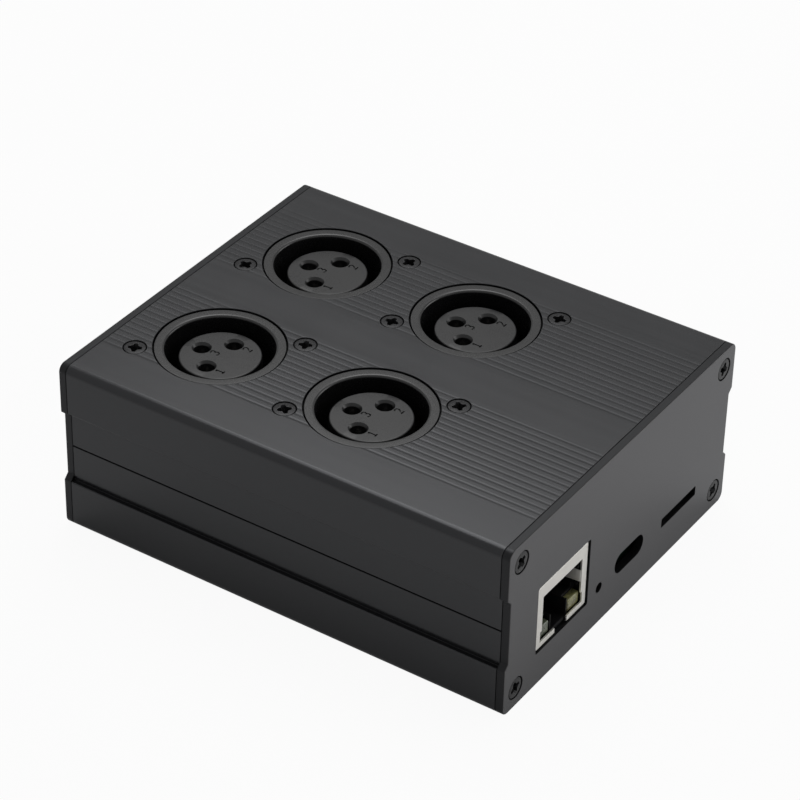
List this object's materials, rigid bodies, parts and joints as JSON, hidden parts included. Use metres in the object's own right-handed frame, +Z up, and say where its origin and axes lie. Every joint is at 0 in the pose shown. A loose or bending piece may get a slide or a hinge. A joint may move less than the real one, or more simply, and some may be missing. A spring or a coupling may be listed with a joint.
{
  "type": "dmx interface box",
  "caption": "Small black aluminium lighting control interface: a grooved extruded box with female XLR sockets on top, and network, USB-C and memory card ports in one end plate.",
  "frame": {"origin": "middle of the base's bounding rectangle, on the surface the box stands on", "axes": "+X along the box's length towards the port plate, +Y across its width, +Z up"},
  "size_m": [0.094, 0.076, 0.035],
  "materials": {
    "anodised_black": "black anodised, satin",
    "black_screw_steel": "blackened steel",
    "socket_plastic": "moulded, fine matt",
    "insert_plastic": "moulded, satin",
    "contact_metal": "silver plated",
    "board_laminate": "green solder mask",
    "header_plastic": "moulded",
    "chip_epoxy": "matt epoxy",
    "shield_metal": "nickel plated sheet",
    "jack_plastic": "moulded",
    "lamp_green": "clear tinted",
    "lamp_yellow": "clear tinted",
    "plunger_plastic": "moulded",
    "card_plastic": "moulded, satin"
  },
  "bodies": {
    "box": {"upper_shell": "anodised_black", "lower_shell": "anodised_black", "front_plate": "anodised_black", "rear_plate": "anodised_black", "front_screw_1": "black_screw_steel", "front_screw_2": "black_screw_steel", "front_screw_3": "black_screw_steel", "front_screw_4": "black_screw_steel", "rear_screw_1": "black_screw_steel", "rear_screw_2": "black_screw_steel", "rear_screw_3": "black_screw_steel", "rear_screw_4": "black_screw_steel", "xlr_1_housing": "socket_plastic", "xlr_1_insert": "insert_plastic", "xlr_1_contact_1": "contact_metal", "xlr_1_contact_2": "contact_metal", "xlr_1_contact_3": "contact_metal", "xlr_1_screw_a": "black_screw_steel", "xlr_1_screw_b": "black_screw_steel", "xlr_2_housing": "socket_plastic", "xlr_2_insert": "insert_plastic", "xlr_2_contact_1": "contact_metal", "xlr_2_contact_2": "contact_metal", "xlr_2_contact_3": "contact_metal", "xlr_2_screw_a": "black_screw_steel", "xlr_2_screw_b": "black_screw_steel", "xlr_3_housing": "socket_plastic", "xlr_3_insert": "insert_plastic", "xlr_3_contact_1": "contact_metal", "xlr_3_contact_2": "contact_metal", "xlr_3_contact_3": "contact_metal", "xlr_3_screw_a": "black_screw_steel", "xlr_3_screw_b": "black_screw_steel", "xlr_4_housing": "socket_plastic", "xlr_4_insert": "insert_plastic", "xlr_4_contact_1": "contact_metal", "xlr_4_contact_2": "contact_metal", "xlr_4_contact_3": "contact_metal", "xlr_4_screw_a": "black_screw_steel", "xlr_4_screw_b": "black_screw_steel", "controller_board": "board_laminate", "socket_board": "board_laminate", "header_plug": "header_plastic", "header_socket": "header_plastic", "line_driver_1": "chip_epoxy", "line_driver_2": "chip_epoxy", "line_driver_3": "chip_epoxy", "line_driver_4": "chip_epoxy", "processor": "chip_epoxy", "reset_switch": "chip_epoxy", "jack_shield": "shield_metal", "usb_shell": "shield_metal", "card_socket": "shield_metal", "jack_body": "jack_plastic", "usb_tongue": "jack_plastic", "jack_lamp_left": "lamp_green", "jack_lamp_right": "lamp_yellow"},
    "card": {"memory_card": "card_plastic"},
    "reset_button": {"reset_plunger": "plunger_plastic"}
  },
  "joints": [
    {"name": "card_slide", "type": "slide", "parent": "box", "child": "card", "axis": [1, 0, 0], "range_m": [0, 0.012]},
    {"name": "reset_press", "type": "slide", "parent": "box", "child": "reset_button", "axis": [-1, 0, 0], "range_m": [0, 0.00025], "stiffness_N_per_m": 4000, "springref_m": -0.00005}
  ]
}
